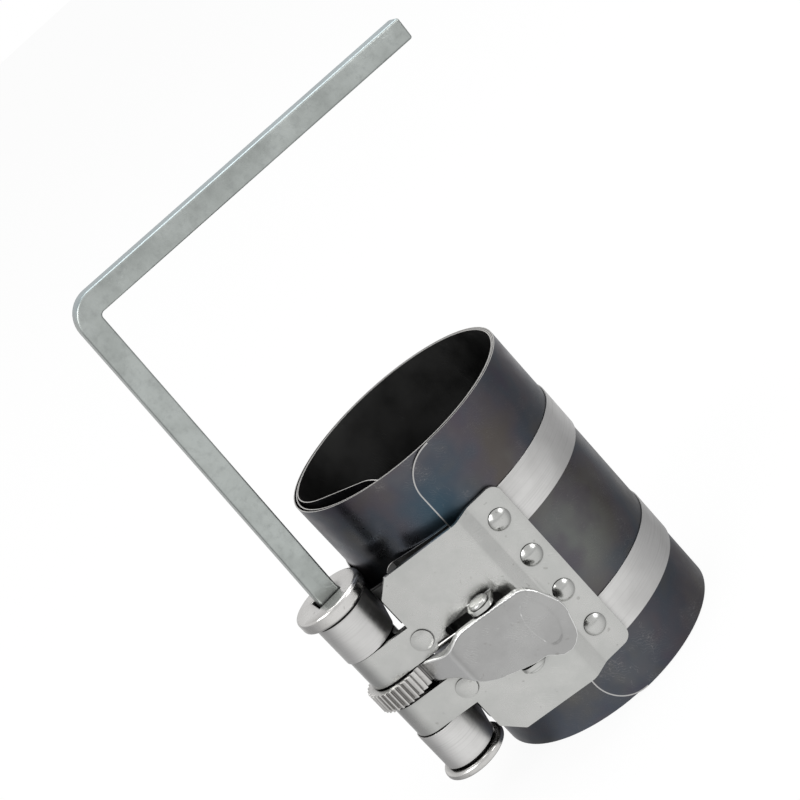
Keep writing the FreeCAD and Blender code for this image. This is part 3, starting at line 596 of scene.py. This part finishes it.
speck = lever_paint.noise(spot, 1300.0, 2.0)
pores = lever_paint.spread(lever_paint.noise(spot, 480.0, 3.0, 0.6), 0.66, 0.76)
hair = lever_paint.scratches((0.9, 0.2, 0.7), 460.0, 7.0, 0.57)
# Painted shade: the lever's plate is painted darker than the same plating on the bracket.
tone = lever_paint.blend(lever_paint.spread(mist, 0.30, 0.72), (0.355, 0.355, 0.35), (0.415, 0.415, 0.41))
tone = lever_paint.blend(0.45 * pores, tone, (0.24, 0.235, 0.22))
tone = lever_paint.blend(0.25 * hair, tone, (0.80, 0.80, 0.79))
# Painted highlight: where the surface turns away from the front, at the rim and sides, it is painted bright.
painted_light_facing = lever_paint.along(lever_paint.node("ShaderNodeTexCoord", output="Normal"), (-0.20, -0.98, 0.0))
painted_rim_highlight = lever_paint.spread(painted_light_facing, 0.80, 0.945, 1.0, 0.0)
tone = lever_paint.blend(0.85 * painted_rim_highlight, tone, (0.86, 0.86, 0.85))
# Painted shade: the lever is painted dark where it lies deep in a gap or corner, as along its lower edge.
tone = lever_paint.blend(0.9 * lever_paint.painted_gap_shade(0.002), tone, (0.045, 0.044, 0.042))
rough = lever_paint.spread(mist, 0.3, 0.7, 0.15, 0.26) + 0.06 * speck
lever_paint.metal(tone, rough, mist * 0.4 + 0.4 * speck, 0.000015, 0.4)
lever.data.materials.append(lever_paint.owner)
dress(lever, "pawl_lever", "lever")
pin = press_copy("lever_pin", ease=0.2 * MM, steps=3)
pin.data.materials.append(plated.owner)
dress(pin, "lever_pin", "frame")


# Spring: steel wire wound close round the pin, with one leg on the deck and
# one under the paddle. It holds the pawl on the ratchet wheel.
PIN = Vector((-15.2 * MM, -40.3 * MM, 0.0))
WIRE = 0.35 * MM
WINDING = 2.0 * MM
WIRES_HIGH = 5
SPRING_TOP = 47.4 * MM
LOW_LEG = (math.radians(53.4), 8.48 * MM)
HIGH_LEG = (math.radians(72.7), 16.1 * MM)
TURNS = 4.0 + (HIGH_LEG[0] - LOW_LEG[0]) / math.radians(360.0)
STEPS = int(28 * TURNS)
first_wire = (WINDING, 0.0, SPRING_TOP - WIRES_HIGH * 2 * WIRE + WIRE)
upright = (math.pi / 2, 0.0, 0.0)
bpy.ops.object.select_all(action="DESELECT")
bpy.ops.mesh.primitive_circle_add(vertices=12, radius=WIRE, location=first_wire, rotation=upright)
spring = bpy.context.object
spring.name = "lever_spring_wire"
bpy.ops.object.transform_apply(location=True, rotation=True, scale=True)
coil = spring.modifiers.new("winding", "SCREW")
coil.angle = math.radians(360.0 * TURNS)
coil.screw_offset = (WIRES_HIGH * 2 - 2) * WIRE
coil.steps = STEPS
coil.render_steps = STEPS
coil.axis = "Z"
bpy.ops.object.modifier_apply(modifier="winding")
spring.rotation_euler.z = LOW_LEG[0]
spring.location = PIN
bpy.ops.object.transform_apply(location=True, rotation=True, scale=True)
bpy.ops.object.mode_set(mode="EDIT")
bpy.ops.mesh.select_mode(type="VERT")
bpy.ops.mesh.select_all(action="DESELECT")
bpy.ops.mesh.select_non_manifold()
bpy.ops.object.mode_set(mode="OBJECT")
ends = {"low": [], "high": []}
middle_height = SPRING_TOP - WIRES_HIGH * WIRE
for vertex in spring.data.vertices:
    if vertex.select:
        ends["low" if vertex.co.z < middle_height else "high"].append(vertex.index)
for indices, (turn, length), quarter in ((ends["low"], LOW_LEG, -90.0), (ends["high"], HIGH_LEG, 90.0)):
    for vertex in spring.data.vertices:
        vertex.select = vertex.index in indices
    for edge in spring.data.edges:
        edge.select = all(index in indices for index in edge.vertices)
    for face in spring.data.polygons:
        face.select = False
    way = turn + math.radians(quarter)
    bpy.ops.object.mode_set(mode="EDIT")
    bpy.ops.mesh.extrude_region_move(TRANSFORM_OT_translate={
        "value": (length * math.cos(way), length * math.sin(way), 0.0)})
    bpy.ops.mesh.edge_face_add()
    bpy.ops.object.mode_set(mode="OBJECT")
bpy.ops.object.mode_set(mode="EDIT")
bpy.ops.mesh.select_all(action="SELECT")
bpy.ops.mesh.normals_make_consistent(inside=False)
bpy.ops.object.mode_set(mode="OBJECT")
bpy.ops.object.shade_smooth_by_angle(angle=math.radians(40.0))
spring.data.materials.append(lathe.owner)
dress(spring, "lever_spring", "lever")


# Key: a square bar of drawn steel, bent once, and zinc plated over its fine
# pits. It stands loose in the spindle's socket.
zinc = Paint("zinc_bar")
spot = zinc.place()
painted_light_facing = zinc.part(zinc.node("ShaderNodeTexCoord", output="Normal"), "Z")
pit = zinc.noise(spot, 520.0, 4.0, 0.62)
stain = zinc.noise(spot, 90.0, 4.0, 0.6)
dimple = zinc.spread(zinc.noise(zinc.place(shift=(0.3, 0.1, 0.5)), 330.0, 3.0, 0.6), 0.58, 0.72)
tone = zinc.blend(zinc.spread(stain, 0.3, 0.7), (0.36, 0.385, 0.37), (0.47, 0.50, 0.485))
tone = zinc.blend(0.35 * zinc.spread(pit, 0.45, 0.75), tone, (0.26, 0.275, 0.27))
# Painted light: the faces turned up are painted pale blue-green, and the side faces are not.
tone = zinc.blend(0.75 * zinc.spread(painted_light_facing, 0.3, 0.9), tone, (0.33, 0.395, 0.42))
rough = zinc.spread(stain, 0.3, 0.7, 0.24, 0.36) + 0.12 * pit
zinc.metal(tone, rough, pit + 1.5 * dimple, 0.00005, 0.5)
key = press_copy("key", ease=0.7 * MM, steps=4)
key.data.materials.append(zinc.owner)
dress(key, "key", "key")
